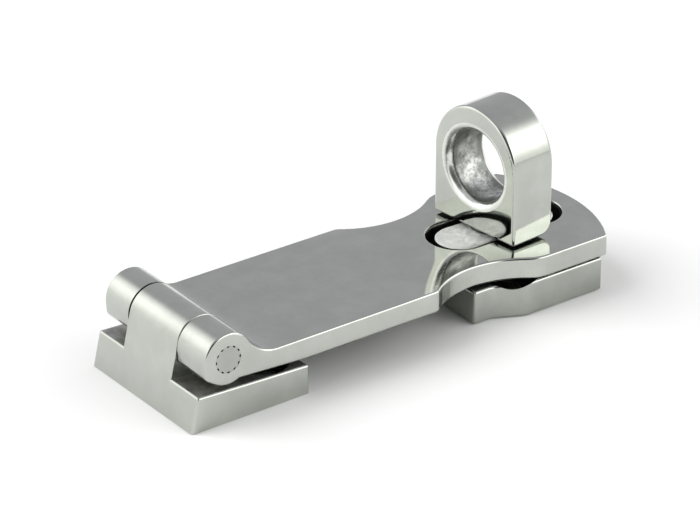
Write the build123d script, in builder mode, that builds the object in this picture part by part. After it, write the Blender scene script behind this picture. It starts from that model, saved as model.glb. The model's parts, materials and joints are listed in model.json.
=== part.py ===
from build123d import *
from math import asin, atan2, cos, degrees, hypot, radians, sin, sqrt, tan
import os

# Swivel safety hasp and staple, closed and locked. Millimetres.
# X runs from the hinge to the staple, Y across, Z up. Both undersides lie on Z = 0.

# Overall
overall_length = 76.2
pin_height = 9.6            # hinge axis above the mounting surface
pin_setback = 6.2           # hinge axis from the outer edge of the hinge plate

# Knuckles and pin
knuckle_radius = 3.9
centre_knuckle_width = 11.6
centre_knuckle_offset = 0.3  # towards +Y, so the near knuckle is the wider one
knuckle_edge = 0.2
knuckle_gap = 0.2           # between the centre knuckle and the strap, all round
heel_radius = 1.3           # fuller lower corner of each outer knuckle
heel_offset = 2.9
heel_angle = 210.0
pin_radius = 2.05
pin_clearance = 0.05        # radial, in the centre knuckle
pin_recess = 0.02           # pin end below the knuckle face
groove_count = 12
groove_radius = 0.24
groove_length = 4.5

# Hinge plate
plate_reach = 13.4          # from the hinge axis to the end under the strap
plate_edge_gap = 0.5        # top face below the knuckles, at the outer edge
plate_tail_gap = 1.3        # the same at the end under the strap
web_reach = 1.0             # back of the web under the centre knuckle
plate_edge = 0.35

# Strap
strap_width = 24.4
strap_thickness = 3.3
strap_drop = 0.8            # strap top below the hinge axis
blend_radius = 5.5          # hollow curve from the knuckles down to the strap top
root_rise = 0.45            # underside above the bottom of the knuckles, where it leaves them
taper_reach = 13.0          # where the underside reaches its full depth
waist_width = 18.6
waist_radius = 13.5
waist_to_pivot = 10.9
neck_corner_radius = 0.9
lobe_width = 25.6
shoulder_radius = 6.0
lobe_corner_radius = 0.3
end_radius = 22.5
end_to_pivot = 14.9         # strap end from the pivot
slot_length = 22.7
slot_shift = 0.35           # slot and boss beyond the pivot
slot_width = 9.4
slot_edge = 0.3
strap_edge = 0.35

# Staple base
base_gap = 0.3              # strap above the base
base_inset = 0.25           # base inside the strap's lobe, at the sides
base_end_inset = 0.7        # the same at the rounded end
foot_width = 20.6
foot_length = 3.2
foot_blend = 4.6            # length over which the base widens behind the foot
foot_blend_radius = 2.5
foot_to_pivot = 11.3
boss_clearance = 1.05       # boss inside the slot, at the sides
boss_end_clearance = 1.4
boss_drop = 0.3             # boss top below the strap top
base_edge = 0.4
boss_edge = 0.35

# Swivel eye
eye_turn = 5.0              # degrees off square to the strap
eye_width = 16.7
eye_thickness = 7.7
eye_height = 19.05
eye_gap = 0.35              # eye above the strap
eye_hole_radius = 5.4
eye_hole_rise = 9.8         # hole centre above the eye's underside
eye_rim = 1.3
eye_corner = 2.0            # rounded lower corner and lower rear edge
eye_edge = 0.5
collar_radius = 3.3         # seat under the eye, round the stud
seat_gap = 0.05             # collar above the boss

# Pivot stack, from the roof of the recess under the base downwards
stud_radius = 2.8
stud_clearance = 0.05
recess_radius = 6.3
recess_depth = 3.1
stack_gap = 0.03
spring_radius = 5.6
spring_thickness = 0.4
spring_bow = 0.25
washer_radius = 5.8
washer_thickness = 0.9
head_radius = 3.7
head_height = 0.9
head_bevel = 0.4

# Countersunk screws
screw_hole_radius = 2.1
screw_head_radius = 4.2
screw_angle = 90.0
hinge_screw_spacing = 15.0
hinge_screw_reach = 8.4
staple_screw_spacing = 17.2
staple_screw_setback = 3.7

# Places that follow from the sizes
hinge_x = -overall_length / 2 + pin_setback
end_x = overall_length / 2
pivot_x = end_x - end_to_pivot
slot_x = pivot_x + slot_shift
plate_edge_drop = knuckle_radius + plate_edge_gap
plate_tail_drop = knuckle_radius + plate_tail_gap
strap_top = pin_height - strap_drop
strap_bottom = strap_top - strap_thickness
base_top = strap_bottom - base_gap
eye_bottom = strap_top + eye_gap
boss_top = strap_top - boss_drop
collar_bottom = boss_top + seat_gap
spring_top = recess_depth - stack_gap
spring_bottom = spring_top - spring_thickness - spring_bow
washer_top = spring_bottom - stack_gap
washer_bottom = washer_top - washer_thickness
head_bottom = washer_bottom - head_height

# The hinge axis seen from the near side: local x runs along the strap, local y is up
hinge = Plane((hinge_x, 0, pin_height), x_dir=(1, 0, 0), z_dir=(0, -1, 0))
centre_knuckle = hinge.offset(-centre_knuckle_offset)

# The eye's own plane through the pivot: local x across the strap, local y is up
turn = radians(eye_turn)
eye_face = Plane((pivot_x, 0, eye_bottom), x_dir=(-sin(turn), cos(turn), 0), z_dir=(cos(turn), sin(turn), 0))

# The plate's outer end is one flat slope from its bottom edge, tangent to the centre knuckle
corner_distance = hypot(pin_setback, pin_height)
slope_angle = atan2(pin_height, pin_setback) + asin(knuckle_radius / corner_distance)
slope_length = sqrt(corner_distance**2 - knuckle_radius**2)
slope_top = (-pin_setback + slope_length * cos(slope_angle), -pin_height + slope_length * sin(slope_angle))
plate_edge_x = -pin_setback + (pin_height - plate_edge_drop) / tan(slope_angle)


def near_x(shapes, x):
    """The edges or vertices whose centre is at this X."""
    return shapes.filter_by_position(Axis.X, x - 0.01, x + 0.01)


with BuildPart() as hinge_plate:
    # Centre knuckle on its web
    with BuildSketch(centre_knuckle):
        with BuildLine():
            Polyline(
                (-pin_setback, -pin_height),
                slope_top,
                (0, 0),
                (web_reach, 0),
                (web_reach, -pin_height),
                close=True,
            )
        make_face()
        Circle(knuckle_radius)
    extrude(amount=centre_knuckle_width / 2, both=True)
    knuckle_ends = hinge_plate.faces().filter_by(Axis.Y)
    fillet(knuckle_ends.edges(), knuckle_edge)
    # Block under the strap
    with BuildSketch(hinge):
        with BuildLine():
            Polyline(
                (-pin_setback, -pin_height),
                (plate_edge_x, -plate_edge_drop),
                (plate_reach, -plate_tail_drop),
                (plate_reach, -pin_height),
                close=True,
            )
        make_face()
    block = extrude(amount=strap_width / 2, both=True, mode=Mode.PRIVATE)
    add(block.fillet(plate_edge, block.edges() - block.faces().sort_by(Axis.Z)[0].edges()))
    with BuildSketch(centre_knuckle):
        Circle(pin_radius + pin_clearance)
    extrude(amount=centre_knuckle_width / 2, both=True, mode=Mode.SUBTRACT)
    screw_x = hinge_x + hinge_screw_reach
    fall = (plate_tail_drop - plate_edge_drop) / (plate_reach - plate_edge_x)
    screw_z = pin_height - plate_edge_drop - fall * (hinge_screw_reach - plate_edge_x)
    with Locations((screw_x, -hinge_screw_spacing / 2, screw_z), (screw_x, hinge_screw_spacing / 2, screw_z)):
        CounterSinkHole(screw_hole_radius, screw_head_radius, counter_sink_angle=screw_angle)
hinge_plate.part.label = "hinge_plate"


with BuildPart() as hinge_pin:
    with BuildSketch(hinge):
        Circle(pin_radius)
    extrude(amount=strap_width / 2 - pin_recess, both=True)
    # Serrated ends that grip the outer knuckles
    for end in (-1, 1):
        with BuildSketch(hinge.offset(end * (strap_width / 2 - pin_recess))):
            with PolarLocations(pin_radius, groove_count):
                Circle(groove_radius)
        extrude(amount=-end * groove_length, mode=Mode.SUBTRACT)
hinge_pin.part.label = "hinge_pin"


with BuildPart() as hasp_strap:
    # Side section: knuckle with its heel, hollow blend, flat top, underside that deepens from the knuckle
    with BuildSketch(hinge) as strap_section:
        Circle(knuckle_radius)
        with PolarLocations(heel_offset, 1, start_angle=heel_angle):
            Circle(heel_radius)
        make_hull()
        blend_z = blend_radius - strap_drop
        blend_x = sqrt((knuckle_radius + blend_radius) ** 2 - blend_z**2)
        blend_start = Vector(blend_x, blend_z) * (knuckle_radius / (knuckle_radius + blend_radius))
        full_drop = strap_drop + strap_thickness
        with BuildLine():
            Line((0, 0), blend_start)
            RadiusArc(blend_start, (blend_x, -strap_drop), -blend_radius)
            Polyline(
                (blend_x, -strap_drop),
                (end_x - hinge_x, -strap_drop),
                (end_x - hinge_x, -full_drop),
                (taper_reach, -full_drop),
                (sqrt(knuckle_radius**2 - (knuckle_radius - root_rise) ** 2), root_rise - knuckle_radius),
                (0, 0),
            )
        make_face()
    extrude(amount=lobe_width / 2, both=True)
    # Plan: straight sides, a waist, and a wider lobe with a shallow rounded end
    with BuildSketch(Plane.XY) as strap_plan:
        waist_x = pivot_x - waist_to_pivot
        waist_centre = waist_width / 2 + waist_radius
        neck_x = waist_x - sqrt(waist_radius**2 - (waist_centre - strap_width / 2) ** 2)
        shoulder_x = waist_x + sqrt(waist_radius**2 - (waist_centre - lobe_width / 2) ** 2)
        end_half_angle = asin(lobe_width / 2 / end_radius)
        corner_x = end_x - end_radius * (1 - cos(end_half_angle))
        with BuildLine():
            Polyline((-end_x, 0), (-end_x, strap_width / 2), (neck_x, strap_width / 2))
            ThreePointArc((neck_x, strap_width / 2), (waist_x, waist_width / 2), (shoulder_x, lobe_width / 2))
            Line((shoulder_x, lobe_width / 2), (corner_x, lobe_width / 2))
            CenterArc((end_x - end_radius, 0), end_radius, 0, degrees(end_half_angle))
            mirror(about=Plane.XZ)
        make_face()
        fillet(near_x(strap_plan.vertices(), neck_x), neck_corner_radius)
        fillet(near_x(strap_plan.vertices(), shoulder_x), shoulder_radius)
        fillet(near_x(strap_plan.vertices(), corner_x), lobe_corner_radius)
    extrude(amount=pin_height + knuckle_radius, mode=Mode.INTERSECT)
    # Rounded edges all along the outline, above and below
    outline = hasp_strap.edges().filter_by(lambda e: abs(e.center().Y) > waist_width / 2 - 0.5 or e.center().X > corner_x)
    fillet(outline.filter_by(Axis.Z, reverse=True), strap_edge)
    with BuildSketch(Plane.XY):
        with Locations((slot_x, 0)):
            SlotOverall(slot_length, slot_width)
    extrude(amount=pin_height, mode=Mode.SUBTRACT)
    top = hasp_strap.faces().filter_by(Axis.Z).sort_by(Axis.Z)[-1]
    fillet(top.inner_wires()[0].edges(), slot_edge)
    # Gap for the centre knuckle and its web
    with BuildSketch(centre_knuckle):
        Circle(knuckle_radius + knuckle_gap)
        with Locations((-knuckle_radius, 0)):
            Rectangle(2 * knuckle_radius, 4 * knuckle_radius)
        with Locations((web_reach, -knuckle_radius)):
            Rectangle(2 * web_reach, 2 * knuckle_radius)
    extrude(amount=centre_knuckle_width / 2 + knuckle_gap, both=True, mode=Mode.SUBTRACT)
    with BuildSketch(hinge):
        Circle(pin_radius)
    extrude(amount=strap_width / 2, both=True, mode=Mode.SUBTRACT)
hasp_strap.part.label = "hasp_strap"


with BuildPart() as staple_base:
    with BuildSketch(Plane.XY) as base_plan:
        foot_x = pivot_x - foot_to_pivot
        base_half = lobe_width / 2 - base_inset
        base_end_radius = end_radius - base_end_inset
        base_half_angle = asin(base_half / base_end_radius)
        base_corner_x = end_x - base_end_inset - base_end_radius * (1 - cos(base_half_angle))
        with BuildLine():
            Polyline(
                (foot_x, 0),
                (foot_x, foot_width / 2),
                (foot_x + foot_length, foot_width / 2),
                (foot_x + foot_length + foot_blend, base_half),
                (base_corner_x, base_half),
            )
            CenterArc((end_x - end_radius, 0), base_end_radius, 0, degrees(base_half_angle))
            mirror(about=Plane.XZ)
        make_face()
        fillet(near_x(base_plan.vertices(), foot_x + foot_length), foot_blend_radius)
        fillet(near_x(base_plan.vertices(), foot_x + foot_length + foot_blend), foot_blend_radius)
        fillet(near_x(base_plan.vertices(), foot_x), base_edge)
    extrude(amount=base_top)
    fillet(staple_base.edges().filter_by(Axis.Z, reverse=True), base_edge)
    with BuildSketch(Plane.XY.offset(base_top)):
        with Locations((slot_x, 0)):
            SlotOverall(slot_length - 2 * boss_end_clearance, slot_width - 2 * boss_clearance)
    extrude(amount=boss_top - base_top)
    fillet(staple_base.faces().sort_by(Axis.Z)[-1].edges(), boss_edge)
    with Locations((pivot_x, 0, 0)):
        Cylinder(
            stud_radius + stud_clearance, boss_top, align=(Align.CENTER, Align.CENTER, Align.MIN), mode=Mode.SUBTRACT
        )
        Cylinder(recess_radius, recess_depth, align=(Align.CENTER, Align.CENTER, Align.MIN), mode=Mode.SUBTRACT)
    screw_x = pivot_x - staple_screw_setback
    with Locations((screw_x, -staple_screw_spacing / 2, base_top), (screw_x, staple_screw_spacing / 2, base_top)):
        CounterSinkHole(screw_hole_radius, screw_head_radius, counter_sink_angle=screw_angle)
staple_base.part.label = "staple_base"


with BuildPart() as swivel_eye:
    with BuildSketch(eye_face) as eye_outline:
        shoulder_height = eye_height - eye_width / 2
        with BuildLine():
            Polyline(
                (-eye_width / 2, shoulder_height),
                (-eye_width / 2, 0),
                (eye_width / 2, 0),
                (eye_width / 2, shoulder_height),
            )
            ThreePointArc((eye_width / 2, shoulder_height), (0, eye_height), (-eye_width / 2, shoulder_height))
        make_face()
        fillet(eye_outline.vertices().sort_by(Axis.Z)[:2].sort_by(Axis.Y)[-1], eye_corner)
    extrude(amount=eye_thickness / 2, both=True)
    rear = swivel_eye.faces().sort_by(Axis(eye_face.origin, eye_face.z_dir))[-1]
    fillet(rear.edges().sort_by(Axis.Z)[0], eye_corner)
    fillet(swivel_eye.edges().filter_by(Axis(eye_face.origin, eye_face.z_dir), reverse=True), eye_edge)
    with BuildSketch(eye_face):
        with Locations((0, eye_hole_rise)):
            Circle(eye_hole_radius)
    extrude(amount=eye_thickness / 2, both=True, mode=Mode.SUBTRACT)
    fillet(swivel_eye.edges().filter_by(GeomType.CIRCLE).filter_by(lambda e: e.radius == eye_hole_radius), eye_rim)
    with Locations((pivot_x, 0, eye_bottom)):
        Cylinder(collar_radius, eye_bottom - collar_bottom, align=(Align.CENTER, Align.CENTER, Align.MAX))
        Cylinder(stud_radius, eye_bottom - washer_bottom, align=(Align.CENTER, Align.CENTER, Align.MAX))
    with Locations((pivot_x, 0, washer_bottom)):
        Cylinder(head_radius, head_height, align=(Align.CENTER, Align.CENTER, Align.MAX))
    chamfer(swivel_eye.edges().sort_by(Axis.Z)[0], head_bevel)
swivel_eye.part.label = "swivel_eye"


with BuildPart() as spring_washer:
    # Bent about Y, so that it bears on its middle and on its two ends
    with BuildSketch(Plane((pivot_x, 0, spring_bottom), x_dir=(1, 0, 0), z_dir=(0, -1, 0))):
        with BuildLine():
            lower = ThreePointArc((-spring_radius, 0), (0, spring_bow), (spring_radius, 0))
            upper = ThreePointArc(
                (-spring_radius, spring_thickness), (0, spring_thickness + spring_bow), (spring_radius, spring_thickness)
            )
            Line(lower @ 0, upper @ 0)
            Line(lower @ 1, upper @ 1)
        make_face()
    extrude(amount=spring_radius, both=True)
    with BuildSketch(Plane.XY):
        with Locations((pivot_x, 0)):
            Circle(spring_radius)
            Circle(stud_radius + 2 * stud_clearance, mode=Mode.SUBTRACT)
    extrude(amount=recess_depth, mode=Mode.INTERSECT)
spring_washer.part.label = "spring_washer"


with BuildPart() as retaining_washer:
    with BuildSketch(Plane.XY.offset(washer_bottom)):
        with Locations((pivot_x, 0)):
            Circle(washer_radius)
            Circle(stud_radius, mode=Mode.SUBTRACT)
    extrude(amount=washer_thickness)
retaining_washer.part.label = "retaining_washer"


os.makedirs("parts", exist_ok=True)
for piece in (hinge_plate, hinge_pin, hasp_strap, staple_base, swivel_eye, spring_washer, retaining_washer):
    export_step(piece.part, "parts/" + piece.part.label + ".step")
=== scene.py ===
import json
import math

import bpy
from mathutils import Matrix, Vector, noise as field


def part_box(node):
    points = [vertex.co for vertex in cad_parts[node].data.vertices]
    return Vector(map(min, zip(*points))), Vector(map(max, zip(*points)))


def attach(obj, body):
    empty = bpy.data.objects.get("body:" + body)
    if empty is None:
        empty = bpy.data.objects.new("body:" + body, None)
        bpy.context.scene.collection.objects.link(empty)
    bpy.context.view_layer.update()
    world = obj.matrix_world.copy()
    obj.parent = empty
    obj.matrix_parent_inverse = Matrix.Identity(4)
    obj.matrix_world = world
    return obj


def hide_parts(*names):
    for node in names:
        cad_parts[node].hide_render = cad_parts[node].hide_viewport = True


# Looks for the swivel hasp and staple: polished cast stainless steel on a plain pale floor.
# Everything is in metres, in the CAD frame.

# Camera
CAMERA_AZIMUTH = -36.6
CAMERA_ELEVATION = 27.2
CAMERA_DISTANCE = 0.508
CAMERA_AIM = Vector((0.0001, 0.0035, 0.0080))
CAMERA_LENS = 183.4

# Studio
FLOOR_HALF = 6.0
FLOOR_DROP = 0.00005
FLOOR_LIGHT = (0.89, 0.89, 0.88)
FLOOR_DARK = (0.86, 0.865, 0.85)
KEY_PLACE = (-0.8, 0.7, 1.1)
KEY_SIZE = 1.4
KEY_ENERGY = 15.0
SKY_WHITE = (2.05, 2.06, 2.02)
SKY_BRIGHT = (3.20, 3.22, 3.15)
SKY_HORIZON = (1.25, 1.26, 1.22)
SKY_GREY = (0.57, 0.565, 0.60)
SKY_DARK = (0.10, 0.105, 0.10)

# Clearances of the CAD model
EYE_GAP = 0.00035           # strap to eye
EYE_FOOT = 0.001            # solid foot of the eye, below its hole
BOSS_SIDE_GAP = 0.00105     # slot round the boss
BOSS_END_GAP = 0.0014
TINY = 0.00002

# Casting skin in the eye's bore
RIM = 0.0013                # rounded rim of the hole
RIM_RINGS = 12
SKIN_RINGS_IN_RIM = 3       # rings of the rim that buffing doesn't reach
BORE_RINGS = 46
BORE_STEPS = 288            # round the bore
BORE_FIELD = 620.0          # how fine the dips are
BORE_DIP = 0.00009          # how deep they are
# Painted shade in the bore, darker towards both mouths
MOUTH_SHADE_START = 0.0006        # from the middle of the bore
MOUTH_SHADE_FULL = 0.0027
MOUTH_SHADE_WANDER = 0.0006
MOUTH_SHADE_DARKEST = 0.85

# Casting skin on the boss
BOSS_EDGE = 0.00035         # rounded edge of the boss
BOSS_EDGE_RINGS = 8
BOSS_RAGGED = 0.00045       # how far that edge wanders inwards
RAGGED_FIELD = 480.0
BOSS_DIP = 0.00020          # how deep its top dips
BOSS_FIELD = 420.0
BOSS_RINGS = 34
BOSS_STEPS = 480

# Material slots of a piece with casting skin
POLISHED = 0
CAST = 1
BUFFED = 2

# Scalloped sides of the strap
WAIST_TO_PIVOT = 0.0109
WAIST_HALF = 0.0093
WAIST_RADIUS = 0.0135
BUFF_REACH = 0.0050
BUFF_FALL = 0.00025
DULL_REACH = 0.030          # from the hinge along the strap
DULL_MOST = 0.12

# Finishes
LIGHT_STEEL = (0.520, 0.536, 0.500)
DARK_STEEL = (0.470, 0.486, 0.450)
# The staple base's steel is a darker copy of the strap's: painted shade for its darker near faces
BASE_SHADED_LIGHT = (0.455, 0.470, 0.435)
BASE_SHADED_DARK = (0.400, 0.415, 0.380)
BLOCK_LIGHT = (0.56, 0.56, 0.54)
BLOCK_DARK = (0.34, 0.34, 0.33)
# Near-black painted shade: the default colours of the unpolished skin masks on undersides, gaps, the slot and the
# boss sides
PAINTED_SHADE_LIGHT = (0.10, 0.10, 0.095)
PAINTED_SHADE_DARK = (0.03, 0.03, 0.028)
RAW_ROUGHNESS = 0.6
RAW_DEPTH = 0.00006
SKIN_LIGHT = (0.78, 0.79, 0.77)
SKIN_DARK = (0.16, 0.165, 0.155)
BOSS_LIGHT = (0.98, 0.99, 0.96)
BOSS_DARK = (0.70, 0.71, 0.68)
RIM_LIGHT = (0.80, 0.815, 0.78)
RIM_DARK = (0.66, 0.675, 0.64)
PIN_LIGHT = (0.43, 0.445, 0.415)
PIN_DARK = (0.38, 0.395, 0.365)
SPRING_LIGHT = (0.50, 0.50, 0.49)
SPRING_DARK = (0.44, 0.44, 0.43)
ALONG_X = (50, 1100, 1100)  # grain, stretched along the polishing direction
ALONG_Y = (1100, 50, 1100)
ALONG_Z = (1100, 1100, 50)
UNEVEN = (500, 1400, 500)


def direction(azimuth, elevation):
    """Unit vector from the object towards a viewer at this azimuth and elevation, in degrees."""
    a = math.radians(azimuth)
    e = math.radians(elevation)
    return Vector((math.sin(a) * math.cos(e), -math.cos(a) * math.cos(e), math.sin(e)))


def make_camera():
    data = bpy.data.cameras.new("camera")
    data.sensor_width = 36.0
    data.lens = CAMERA_LENS
    data.clip_start = 0.01
    data.clip_end = 100.0
    camera = bpy.data.objects.new("camera", data)
    bpy.context.scene.collection.objects.link(camera)
    back = direction(CAMERA_AZIMUTH, CAMERA_ELEVATION)
    camera.location = CAMERA_AIM + back * CAMERA_DISTANCE
    camera.rotation_mode = "QUATERNION"
    camera.rotation_quaternion = (-back).to_track_quat("-Z", "Y")
    bpy.context.scene.camera = camera


# Shader helpers. Each takes the node tree first and returns an output socket.


def noise(tree, vector, scale, detail=2.0, roughness=0.5, distortion=0.0):
    node = tree.nodes.new("ShaderNodeTexNoise")
    node.inputs["Scale"].default_value = scale
    node.inputs["Detail"].default_value = detail
    node.inputs["Roughness"].default_value = roughness
    node.inputs["Distortion"].default_value = distortion
    tree.links.new(vector, node.inputs["Vector"])
    return node.outputs["Fac"]


def stretched(tree, vector, scale):
    node = tree.nodes.new("ShaderNodeMapping")
    node.inputs["Scale"].default_value = scale
    tree.links.new(vector, node.inputs["Vector"])
    return node.outputs["Vector"]


def remap(tree, value, low, high, out_low=0.0, out_high=1.0, smooth=False):
    node = tree.nodes.new("ShaderNodeMapRange")
    node.interpolation_type = "SMOOTHSTEP" if smooth else "LINEAR"
    node.inputs["From Min"].default_value = low
    node.inputs["From Max"].default_value = high
    node.inputs["To Min"].default_value = out_low
    node.inputs["To Max"].default_value = out_high
    tree.links.new(value, node.inputs["Value"])
    return node.outputs["Result"]


def math_node(tree, operation, *values):
    node = tree.nodes.new("ShaderNodeMath")
    node.operation = operation
    for socket, value in zip(node.inputs, values):
        if isinstance(value, (int, float)):
            socket.default_value = value
        else:
            tree.links.new(value, socket)
    return node.outputs["Value"]


def mixed(tree, factor, first, second, kind="RGBA"):
    """first where factor is 0, second where it is 1. Each is a constant or a socket."""
    node = tree.nodes.new("ShaderNodeMix")
    node.data_type = kind
    suffix = {"RGBA": "Color", "FLOAT": "Float"}[kind]
    inputs = {socket.identifier: socket for socket in node.inputs}
    for name, value in ((f"A_{suffix}", first), (f"B_{suffix}", second)):
        if isinstance(value, tuple):
            inputs[name].default_value = (*value, 1.0)
        elif isinstance(value, (int, float)):
            inputs[name].default_value = value
        else:
            tree.links.new(value, inputs[name])
    tree.links.new(factor, inputs["Factor_Float"])
    return {socket.identifier: socket for socket in node.outputs}[f"Result_{suffix}"]


def split(tree, vector):
    node = tree.nodes.new("ShaderNodeSeparateXYZ")
    tree.links.new(vector, node.inputs["Vector"])
    return node.outputs


def along(tree, vector, heading):
    """How far vector reaches along a heading."""
    node = tree.nodes.new("ShaderNodeVectorMath")
    node.operation = "DOT_PRODUCT"
    node.inputs[1].default_value = heading
    tree.links.new(vector, node.inputs[0])
    return node.outputs["Value"]


def inside(tree, vector, low, high, soft):
    """1 in a box in object space, fading to 0 over a soft margin outside it."""
    mask = None
    for axis, value in enumerate(split(tree, vector)):
        rising = remap(tree, value, low[axis] - soft, low[axis])
        falling = remap(tree, value, high[axis], high[axis] + soft, 1.0, 0.0)
        both = math_node(tree, "MULTIPLY", rising, falling)
        mask = both if mask is None else math_node(tree, "MULTIPLY", mask, both)
    return mask


# Materials


class Steel:
    """Stainless steel under construction: polished, with unpolished cast skin where a mask says so; most masks
    give that skin near-black colours as painted shade.
    """

    def __init__(self, name):
        self.material = bpy.data.materials.new(name)
        self.material.use_nodes = True
        self.tree = self.material.node_tree
        self.shader = self.tree.nodes["Principled BSDF"]
        self.shader.inputs["Metallic"].default_value = 1.0
        coordinates = self.tree.nodes.new("ShaderNodeTexCoord")
        self.place = coordinates.outputs["Object"]
        self.facing = split(self.tree, coordinates.outputs["Normal"])
        self.colour = None
        self.roughness = None
        self.height = None

    def polish(self, light, dark, smooth, dull, grain, waves):
        """Slight tone change, fine lines along the polishing, and broad hand-polished waves."""
        tree = self.tree
        tone = noise(tree, self.place, 190.0, 4.0, 0.65)
        self.colour = mixed(tree, remap(tree, tone, 0.36, 0.64), dark, light)
        lines = noise(tree, stretched(tree, self.place, grain), 1.0, 4.0, 0.65)
        patches = noise(tree, self.place, 130.0, 2.0, 0.5)
        wear = mixed(tree, patches, lines, patches, kind="FLOAT")
        self.roughness = remap(tree, wear, 0.34, 0.66, smooth, dull)
        broad = noise(tree, self.place, 210.0, 1.0, 0.4)
        fine = math_node(tree, "MULTIPLY", lines, 0.06)
        self.height = math_node(tree, "MULTIPLY", math_node(tree, "ADD", broad, fine), waves)

    def raw_skin_and_shade(self, mask, light=PAINTED_SHADE_LIGHT, dark=PAINTED_SHADE_DARK, roughness=RAW_ROUGHNESS, depth=RAW_DEPTH):
        """Unpolished casting skin: grainy and dull. Its default colours are near-black painted shade, for
        undersides, gaps, the slot and the boss sides.
        """
        tree = self.tree
        grain = noise(tree, self.place, 1500.0, 5.0, 0.7)
        blotch = noise(tree, self.place, 420.0, 3.0, 0.6)
        colour = mixed(tree, remap(tree, blotch, 0.38, 0.62), dark, light)
        self.colour = mixed(tree, mask, self.colour, colour)
        skin = remap(tree, grain, 0.3, 0.7, roughness * 0.8, roughness * 1.2)
        self.roughness = mixed(tree, mask, self.roughness, skin, kind="FLOAT")
        relief = math_node(tree, "MULTIPLY", grain, depth)
        self.height = mixed(tree, mask, self.height, relief, kind="FLOAT")

    def done(self):
        tree = self.tree
        tree.links.new(self.colour, self.shader.inputs["Base Color"])
        tree.links.new(self.roughness, self.shader.inputs["Roughness"])
        bump = tree.nodes.new("ShaderNodeBump")
        bump.inputs["Strength"].default_value = 1.0
        bump.inputs["Distance"].default_value = 1.0
        tree.links.new(self.height, bump.inputs["Height"])
        tree.links.new(bump.outputs["Normal"], self.shader.inputs["Normal"])
        return self.material


def strap_material():
    steel = Steel("strap_steel")
    steel.polish(LIGHT_STEEL, DARK_STEEL, 0.045, 0.085, ALONG_X, 0.0000022)
    buffed_edges(steel)
    # The hinge end is buffed less than the rest
    x = split(steel.tree, steel.place)[0]
    pin_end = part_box("hinge_pin")[1].x
    dull = remap(steel.tree, x, pin_end, pin_end + DULL_REACH, DULL_MOST, 0.0, smooth=True)
    steel.roughness = math_node(steel.tree, "ADD", steel.roughness, dull)
    # Painted shade: the strap's underside, past the hinge end, gets the near-black skin colours
    shaded_underside = remap(steel.tree, steel.facing[2], -0.95, -0.75, 1.0, 0.0)
    flat = remap(steel.tree, x, pin_end, pin_end + 0.004)
    steel.raw_skin_and_shade(math_node(steel.tree, "MULTIPLY", shaded_underside, flat))
    # Painted shade: the walls of the slot round the boss get the near-black skin colours
    slot_low = (SLOT_START - TINY, -SLOT_HALF - TINY, STRAP_LOW_Z)
    slot_high = (SLOT_END + TINY, SLOT_HALF + TINY, STRAP_TOP - 0.0005)
    steel.raw_skin_and_shade(inside(steel.tree, steel.place, slot_low, slot_high, 0.0002))
    return steel.done()


def buffed_edges(steel):
    """The strap's top falls away a little towards its scalloped sides, under the buffing wheel."""
    tree = steel.tree
    x, y, z = split(tree, steel.place)
    ahead = math_node(tree, "SUBTRACT", x, PIVOT_X - WAIST_TO_PIVOT)
    side = math_node(tree, "SUBTRACT", math_node(tree, "ABSOLUTE", y), WAIST_HALF + WAIST_RADIUS)
    squares = [math_node(tree, "MULTIPLY", value, value) for value in (ahead, side)]
    reach = math_node(tree, "SQRT", math_node(tree, "ADD", *squares))
    near = remap(tree, reach, WAIST_RADIUS, WAIST_RADIUS + BUFF_REACH, 1.0, 0.0)
    fall = math_node(tree, "MULTIPLY", math_node(tree, "MULTIPLY", near, near), -BUFF_FALL)
    steel.height = math_node(tree, "ADD", steel.height, fall)


def base_material():
    steel = Steel("staple_base_steel")
    steel.polish(BASE_SHADED_LIGHT, BASE_SHADED_DARK, 0.10, 0.16, ALONG_X, 0.000004)
    # Painted shade: the base's top faces under the strap get the near-black skin colours
    up = remap(steel.tree, steel.facing[2], 0.90, 0.97)
    z = split(steel.tree, steel.place)[2]
    below_boss = remap(steel.tree, z, STRAP_LOW_Z, BOSS_HIGH.z - 0.001, 1.0, 0.0)
    steel.raw_skin_and_shade(math_node(steel.tree, "MULTIPLY", up, below_boss))
    # Painted shade: the boss's sides in the slot get the near-black skin colours
    boss_low = (SLOT_START, -SLOT_HALF, STRAP_LOW_Z)
    boss_high = (SLOT_END, SLOT_HALF, BOSS_HIGH.z - 0.0008)
    steel.raw_skin_and_shade(inside(steel.tree, steel.place, boss_low, boss_high, 0.0004))
    return steel.done()


def plate_material():
    steel = Steel("hinge_plate_steel")
    steel.polish(LIGHT_STEEL, DARK_STEEL, 0.15, 0.24, ALONG_Y, 0.000005)
    up = remap(steel.tree, steel.facing[2], 0.90, 0.97)
    z = split(steel.tree, steel.place)[2]
    block = remap(steel.tree, z, STRAP_LOW_Z, STRAP_LOW_Z + 0.0005, 1.0, 0.0)
    steel.raw_skin_and_shade(math_node(steel.tree, "MULTIPLY", up, block), BLOCK_LIGHT, BLOCK_DARK, 0.45, 0.00004)
    return steel.done()


def eye_material():
    steel = Steel("eye_steel")
    steel.polish(LIGHT_STEEL, DARK_STEEL, 0.045, 0.08, ALONG_Z, 0.0000022)
    z = split(steel.tree, steel.place)[2]
    # Painted shade: the eye's underside and all of it below its bottom, in the gap over the strap, get the
    # near-black skin colours
    below = remap(steel.tree, z, STRAP_TOP, EYE_BOTTOM, 1.0, 0.0)
    shaded_underside = remap(steel.tree, steel.facing[2], -0.97, -0.85, 1.0, 0.0)
    low_part = remap(steel.tree, z, EYE_BOTTOM, EYE_BOTTOM + 0.0006, 1.0, 0.0)
    steel.raw_skin_and_shade(math_node(steel.tree, "MULTIPLY", shaded_underside, low_part), depth=0.00005)
    steel.raw_skin_and_shade(below, depth=0.00005)
    return steel.done()


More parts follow.
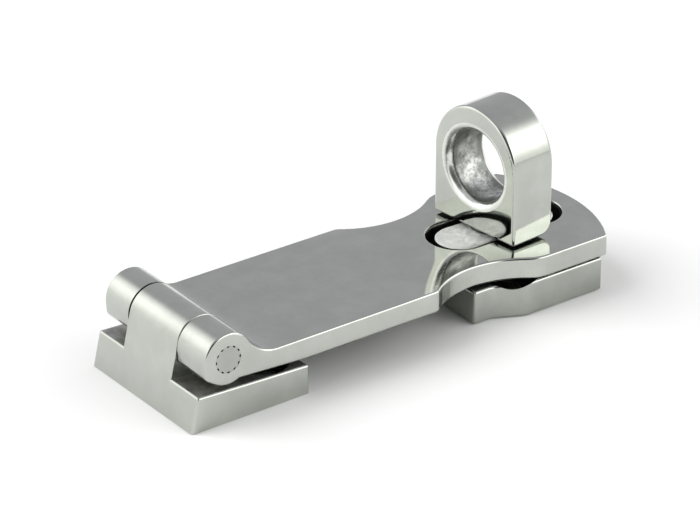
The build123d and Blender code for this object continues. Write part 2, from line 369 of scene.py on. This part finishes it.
def cast_skin(name, light, dark, smooth, dull, metallic):
    """Mottled and speckled casting skin, never polished."""
    steel = Steel(name)
    steel.shader.inputs["Metallic"].default_value = metallic
    steel.polish(light, dark, smooth, dull, UNEVEN, 0.000014)
    speckle = noise(steel.tree, steel.place, 1300.0, 3.0, 0.7)
    speckle = remap(steel.tree, speckle, 0.26, 0.58)
    steel.colour = mixed(steel.tree, speckle, dark, steel.colour)
    return steel


def bore_material():
    """Casting skin of the eye's bore, with painted shade darkening it towards both mouths."""
    steel = cast_skin("bore_skin", SKIN_LIGHT, SKIN_DARK, 0.30, 0.46, 1.0)
    tree = steel.tree
    # Painted shade: the skin darkens towards both mouths of the bore
    depth = along(tree, steel.place, EYE_NORMAL)
    depth = math_node(tree, "SUBTRACT", depth, EYE_HOLE.dot(EYE_NORMAL))
    depth = math_node(tree, "ABSOLUTE", depth)
    ragged = noise(tree, steel.place, 520.0, 3.0, 0.6)
    wander = remap(tree, ragged, 0.3, 0.7, -MOUTH_SHADE_WANDER, MOUTH_SHADE_WANDER)
    depth = math_node(tree, "ADD", depth, wander)
    mouth_shade = remap(tree, depth, MOUTH_SHADE_START, MOUTH_SHADE_FULL, 0.0, MOUTH_SHADE_DARKEST, smooth=True)
    steel.colour = mixed(tree, mouth_shade, steel.colour, SKIN_DARK)
    return steel.done()


def small_steel(name, light, dark, smooth, dull, grain):
    steel = Steel(name)
    steel.polish(light, dark, smooth, dull, grain, 0.000003)
    return steel.done()


# Studio


def make_floor():
    material = bpy.data.materials.new("floor_paper")
    material.use_nodes = True
    tree = material.node_tree
    shader = tree.nodes["Principled BSDF"]
    coordinates = tree.nodes.new("ShaderNodeTexCoord").outputs["Object"]
    shade = noise(tree, coordinates, 3.0, 2.0)
    tree.links.new(mixed(tree, shade, FLOOR_DARK, FLOOR_LIGHT), shader.inputs["Base Color"])
    shader.inputs["Roughness"].default_value = 0.9
    shader.inputs["Specular IOR Level"].default_value = 0.1
    mesh = bpy.data.meshes.new("floor")
    corners = [(-1, -1), (1, -1), (1, 1), (-1, 1)]
    corners = [(x * FLOOR_HALF, y * FLOOR_HALF, -FLOOR_DROP) for x, y in corners]
    mesh.from_pydata(corners, [], [(0, 1, 2, 3)])
    mesh.materials.append(material)
    floor = bpy.data.objects.new("floor", mesh)
    bpy.context.scene.collection.objects.link(floor)


def make_studio():
    """A room of soft light: white walls, a brighter one at the right, grey above and beyond,
    dark where the photographer would stand."""
    world = bpy.data.worlds.new("studio")
    world.use_nodes = True
    bpy.context.scene.world = world
    tree = world.node_tree
    sky = tree.nodes["Background"]
    coordinates = tree.nodes.new("ShaderNodeTexCoord").outputs["Generated"]
    near = direction(CAMERA_AZIMUTH, CAMERA_ELEVATION)
    # Soft-edged patches of the room: heading, cosines where the patch starts and is full, colour
    patches = (
        (Vector((-near.x, near.y, near.z)), 0.72, 0.92, SKY_BRIGHT),
        (Vector((0, 0, -1)), -0.52, 0.0, SKY_HORIZON),
        (Vector((0, 0, 1)), 0.50, 0.80, SKY_GREY),
        (Vector((-near.x, -near.y, near.z)), 0.70, 0.86, SKY_GREY),
        (near, 0.74, 0.90, SKY_DARK),
    )
    colour = SKY_WHITE
    for heading, start, full, tint in patches:
        patch = remap(tree, along(tree, coordinates, heading), start, full, smooth=True)
        colour = mixed(tree, patch, colour, tint)
    tree.links.new(colour, sky.inputs["Color"])


def make_key_light():
    """A big soft light overhead for the floor's pale tone and a faint shadow.
    The steel mirrors only the room."""
    data = bpy.data.lights.new("key", "AREA")
    data.shape = "DISK"
    data.size = KEY_SIZE
    data.energy = KEY_ENERGY
    key = bpy.data.objects.new("key", data)
    bpy.context.scene.collection.objects.link(key)
    key.location = KEY_PLACE
    key.rotation_mode = "QUATERNION"
    key.rotation_quaternion = (-key.location).to_track_quat("-Z", "Y")
    key.visible_glossy = False


# Casting skin as real geometry


def skin_height(point, scale):
    """0 to 1: how deep the cast surface dips at a point."""
    coarse = field.fractal(point * scale, 1.0, 2.0, 2)
    fine = field.fractal(point * scale * 4.0, 1.0, 2.0, 3)
    return min(1.0, max(0.0, 0.5 + 0.6 * coarse + 0.22 * fine))


class Surface:
    """A CAD node's mesh with some faces taken off and a dense rough surface sewn in."""

    def __init__(self, node, removed):
        """removed says of a face's corner points whether the face is taken off."""
        source = frame["nodes"][node].data
        self.points = [v.co.copy() for v in source.vertices]
        weld = {}
        same = []
        for i, point in enumerate(self.points):
            same.append(weld.setdefault(tuple(round(c, 7) for c in point), i))
        self.faces = []
        self.normals = []       # the CAD's corner normals, or None for a new face
        self.finish = []
        edge_kinds = {}
        for polygon in source.polygons:
            ids = [same[v] for v in polygon.vertices]
            if len(set(ids)) < 3:
                continue
            taken = removed([self.points[i] for i in ids])
            for a, b in zip(ids, ids[1:] + ids[:1]):
                edge_kinds.setdefault((min(a, b), max(a, b)), set()).add(taken)
            if not taken:
                corners = [source.corner_normals[i].vector.copy() for i in polygon.loop_indices]
                self.face(ids, POLISHED, corners)
        open_edges = [edge for edge, kinds in edge_kinds.items() if len(kinds) == 2]
        self.open_points = {i for edge in open_edges for i in edge}

    def loop(self, wanted, angle):
        """The points of the open edge that wanted picks, in order of angle."""
        ids = [i for i in self.open_points if wanted(self.points[i])]
        return sorted(ids, key=lambda i: angle(self.points[i]))

    def add_ring(self, points):
        first = len(self.points)
        self.points.extend(points)
        return list(range(first, first + len(points)))

    def face(self, ids, finish, normals=None):
        self.faces.append(ids)
        self.finish.append(finish)
        self.normals.append(normals)

    def strip(self, lower, upper, finish):
        """Quads between two rings of the same length."""
        for k in range(len(lower)):
            after = (k + 1) % len(lower)
            self.face([lower[k], lower[after], upper[after], upper[k]], finish)

    def zip(self, lower, upper, angle, finish):
        """Triangles between two rings of different lengths, both in order of angle."""
        lower = lower + lower[:1]
        upper = upper + upper[:1]
        low_turn = [angle(self.points[i]) for i in lower[:-1]]
        low_turn.append(low_turn[0] + 2 * math.pi)
        high_turn = [angle(self.points[i]) for i in upper[:-1]]
        high_turn.append(high_turn[0] + 2 * math.pi)
        i = 0
        j = 0
        while i < len(lower) - 1 or j < len(upper) - 1:
            upper_done = j >= len(upper) - 1
            if upper_done or (i < len(lower) - 1 and low_turn[i + 1] <= high_turn[j + 1]):
                self.face([lower[i], lower[i + 1], upper[j]], finish)
                i += 1
            else:
                self.face([lower[i], upper[j + 1], upper[j]], finish)
                j += 1

    def build(self, name, *materials):
        """The finished object, with the CAD's own shading on the faces that stay."""
        used = sorted({i for ids in self.faces for i in ids})
        place = {old: new for new, old in enumerate(used)}
        faces = [[place[i] for i in ids] for ids in self.faces]
        mesh = bpy.data.meshes.new(name)
        mesh.from_pydata([self.points[i] for i in used], [], faces)
        for material in materials:
            mesh.materials.append(material)
        smooth = {}
        for polygon, finish, kept in zip(mesh.polygons, self.finish, self.normals):
            polygon.use_smooth = True
            polygon.material_index = finish
            if kept is None:
                for v in polygon.vertices:
                    smooth[v] = smooth.get(v, Vector((0, 0, 0))) + polygon.normal * polygon.area
        normals = []
        for polygon, kept in zip(mesh.polygons, self.normals):
            if kept is None:
                kept = [smooth[v].normalized() for v in polygon.vertices]
            normals.extend(kept)
        mesh.normals_split_custom_set(normals)
        piece = bpy.data.objects.new(name, mesh)
        bpy.context.scene.collection.objects.link(piece)
        return piece


def turns(count):
    """Angles at even steps round a ring, half a step in."""
    return [-math.pi + 2 * math.pi * (k + 0.5) / count for k in range(count)]


def hole_profile(half):
    """Radius and depth of each ring, from the front face through the bore to the rear face."""
    front = []
    for k in range(RIM_RINGS + 1):
        lean = math.pi / 2 * k / RIM_RINGS
        front.append((HOLE_RADIUS + RIM * (1 - math.sin(lean)), -half + RIM * (1 - math.cos(lean))))
    step = 2 * (half - RIM) / BORE_RINGS
    bore = [(HOLE_RADIUS, -half + RIM + step * k) for k in range(1, BORE_RINGS)]
    return front + bore + [(radius, -depth) for radius, depth in reversed(front)]


def rough_eye(steel, skin, soft):
    """The swivel eye with the casting skin of its bore modelled."""
    across = Vector((EYE_NORMAL.y, -EYE_NORMAL.x, 0.0))
    up = Vector((0.0, 0.0, 1.0))

    def depth_of(point):
        return (point - EYE_HOLE).dot(EYE_NORMAL)

    def angle(point):
        offset = point - EYE_HOLE
        return math.atan2(offset.z, offset.dot(across))

    def in_hole(corners):
        for point in corners:
            offset = point - EYE_HOLE
            reach = math.hypot(offset.dot(across), offset.z)
            if reach >= HOLE_RADIUS + RIM + TINY or point.z <= EYE_BOTTOM + EYE_FOOT:
                return False
        return True

    def at(radius, turn, depth):
        spoke = across * math.cos(turn) + up * math.sin(turn)
        return EYE_HOLE + spoke * radius + EYE_NORMAL * depth

    surface = Surface("swivel_eye", in_hole)
    rings = []
    for radius, depth in hole_profile(EYE_THICKNESS / 2):
        # The dips fade out on the rim, which is buffed smooth
        fade = min(1.0, max(0.0, (HOLE_RADIUS + RIM * 0.75 - radius) / (RIM * 0.6)))
        ring = []
        for turn in turns(BORE_STEPS):
            dip = skin_height(at(radius, turn, depth), BORE_FIELD) * BORE_DIP * fade
            ring.append(at(radius + dip, turn, depth))
        rings.append(surface.add_ring(ring))
    surface.zip(surface.loop(lambda p: depth_of(p) < 0, angle), rings[0], angle, POLISHED)
    first = RIM_RINGS - SKIN_RINGS_IN_RIM
    for k, (lower, upper) in enumerate(zip(rings, rings[1:])):
        in_bore = first < k < len(rings) - 2 - first
        surface.strip(lower, upper, CAST if in_bore else BUFFED)
    surface.zip(rings[-1], surface.loop(lambda p: depth_of(p) > 0, angle), angle, POLISHED)
    piece = surface.build("swivel_eye_cast", steel, skin, soft)
    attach(piece, "eye")
    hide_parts("swivel_eye")


def rough_base(steel, skin):
    """The staple base with the casting skin on top of its boss, and the boss's ragged edge."""
    radius = BOSS_HIGH.y
    centre = Vector((BOSS_LOW.x + BOSS_HIGH.x, 0.0, 0.0)) / 2
    straight = BOSS_HIGH.x - centre.x - radius
    top = BOSS_HIGH.z
    pivot = Vector((PIVOT_X, 0.0, 0.0))

    def on_top(corners):
        return all(p.z > top - BOSS_EDGE - TINY for p in corners)

    def angle(point):
        return math.atan2(point.y - centre.y, point.x - centre.x)

    def outline(turn, inset):
        """The point of the boss's outline, drawn in by inset, in a direction from its centre."""
        r = radius - inset
        c = math.cos(turn)
        s = math.sin(turn)
        if abs(c) * r <= straight * abs(s):
            reach = r / abs(s)
        else:
            b = straight * abs(c)
            reach = b + math.sqrt(max(0.0, b * b - straight * straight + r * r))
        return centre + Vector((c, s, 0.0)) * reach

    surface = Surface("staple_base", on_top)
    hole = min((surface.points[i] - pivot).xy.length for i in surface.open_points)
    rings = []
    for step in range(BOSS_EDGE_RINGS + 1):
        share = step / BOSS_EDGE_RINGS
        lean = math.pi / 2 * share
        ring = []
        for turn in turns(BOSS_STEPS):
            wander = skin_height(outline(turn, 0.0), RAGGED_FIELD) * BOSS_RAGGED * share
            point = outline(turn, BOSS_EDGE * (1 - math.cos(lean)) + wander)
            dip = skin_height(point, BOSS_FIELD) * BOSS_DIP * math.sin(lean) ** 2
            point.z = top - BOSS_EDGE * (1 - math.sin(lean)) - dip
            ring.append(point)
        rings.append(surface.add_ring(ring))
    edge = [surface.points[i] for i in rings[-1]]
    for step in range(1, BOSS_RINGS + 1):
        share = step / BOSS_RINGS
        fade = min(1.0, (1 - share) * 5.0)
        ring = []
        for turn, start in zip(turns(BOSS_STEPS), edge):
            inner = pivot + Vector((math.cos(turn), math.sin(turn), 0.0)) * hole
            point = Vector((start.x, start.y, 0.0)).lerp(inner, share)
            point.z = top - skin_height(point, BOSS_FIELD) * BOSS_DIP * fade
            ring.append(point)
        rings.append(surface.add_ring(ring))
    surface.zip(surface.loop(lambda p: p.z < top - TINY, angle), rings[0], angle, CAST)
    for lower, upper in zip(rings, rings[1:]):
        surface.strip(lower, upper, CAST)
    surface.zip(rings[-1], surface.loop(lambda p: p.z > top - TINY, angle), angle, CAST)
    piece = surface.build("staple_base_cast", steel, skin)
    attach(piece, "staple")
    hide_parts("staple_base")


def dress(node, material):
    """Gives a CAD node its finished material."""
    mesh = frame["nodes"][node].data
    mesh.materials.clear()
    mesh.materials.append(material)


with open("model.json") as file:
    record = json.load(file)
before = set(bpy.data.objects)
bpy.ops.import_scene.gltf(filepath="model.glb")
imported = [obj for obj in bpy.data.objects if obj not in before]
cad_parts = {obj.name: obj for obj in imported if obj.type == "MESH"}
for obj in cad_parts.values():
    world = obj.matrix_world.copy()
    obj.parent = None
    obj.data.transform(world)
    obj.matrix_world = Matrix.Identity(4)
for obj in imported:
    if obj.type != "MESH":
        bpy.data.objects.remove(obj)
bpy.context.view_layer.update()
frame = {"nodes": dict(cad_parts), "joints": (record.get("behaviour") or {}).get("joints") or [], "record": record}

# Places and sizes read from the frame
EYE_JOINT = next(j for j in frame["joints"] if j["name"] == "eye_swivel")
PADLOCK = next(m for m in frame["record"]["mounts"] if m["name"] == "padlock_hole")
PIVOT_X = EYE_JOINT["pos_m"][0]
EYE_BOTTOM = EYE_JOINT["pos_m"][2]
EYE_HOLE = Vector(PADLOCK["pos_m"])
EYE_NORMAL = Vector(PADLOCK["axis"]).normalized()
HOLE_RADIUS = PADLOCK["dims"]["r_mm"] / 1000
EYE_THICKNESS = PADLOCK["dims"]["length_mm"] / 1000 + 2 * RIM
STRAP_TOP = EYE_BOTTOM - EYE_GAP
STRAP_LOW_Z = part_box("hasp_strap")[0].z
BASE_POINTS = [v.co for v in frame["nodes"]["staple_base"].data.vertices]
BOSS_POINTS = [point for point in BASE_POINTS if point.z > STRAP_LOW_Z + 0.001]
BOSS_LOW = Vector(min(p[i] for p in BOSS_POINTS) for i in range(3))
BOSS_HIGH = Vector(max(p[i] for p in BOSS_POINTS) for i in range(3))
SLOT_HALF = BOSS_HIGH.y + BOSS_SIDE_GAP
SLOT_START = BOSS_LOW.x - BOSS_END_GAP
SLOT_END = BOSS_HIGH.x + BOSS_END_GAP

bpy.context.scene.view_settings.view_transform = "Standard"
make_camera()
make_studio()
make_key_light()
make_floor()

rim_look = small_steel("rim_steel_look", RIM_LIGHT, RIM_DARK, 0.20, 0.32, ALONG_Y)
pin_look = small_steel("pin_steel_look", PIN_LIGHT, PIN_DARK, 0.16, 0.22, ALONG_Y)
spring_look = small_steel("spring_steel_look", SPRING_LIGHT, SPRING_DARK, 0.28, 0.38, ALONG_X)
boss_look = cast_skin("boss_skin", BOSS_LIGHT, BOSS_DARK, 0.45, 0.70, 0.45).done()
rough_eye(eye_material(), bore_material(), rim_look)
rough_base(base_material(), boss_look)
dress("hasp_strap", strap_material())
dress("hinge_plate", plate_material())
dress("hinge_pin", pin_look)
dress("retaining_washer", pin_look)
dress("spring_washer", spring_look)
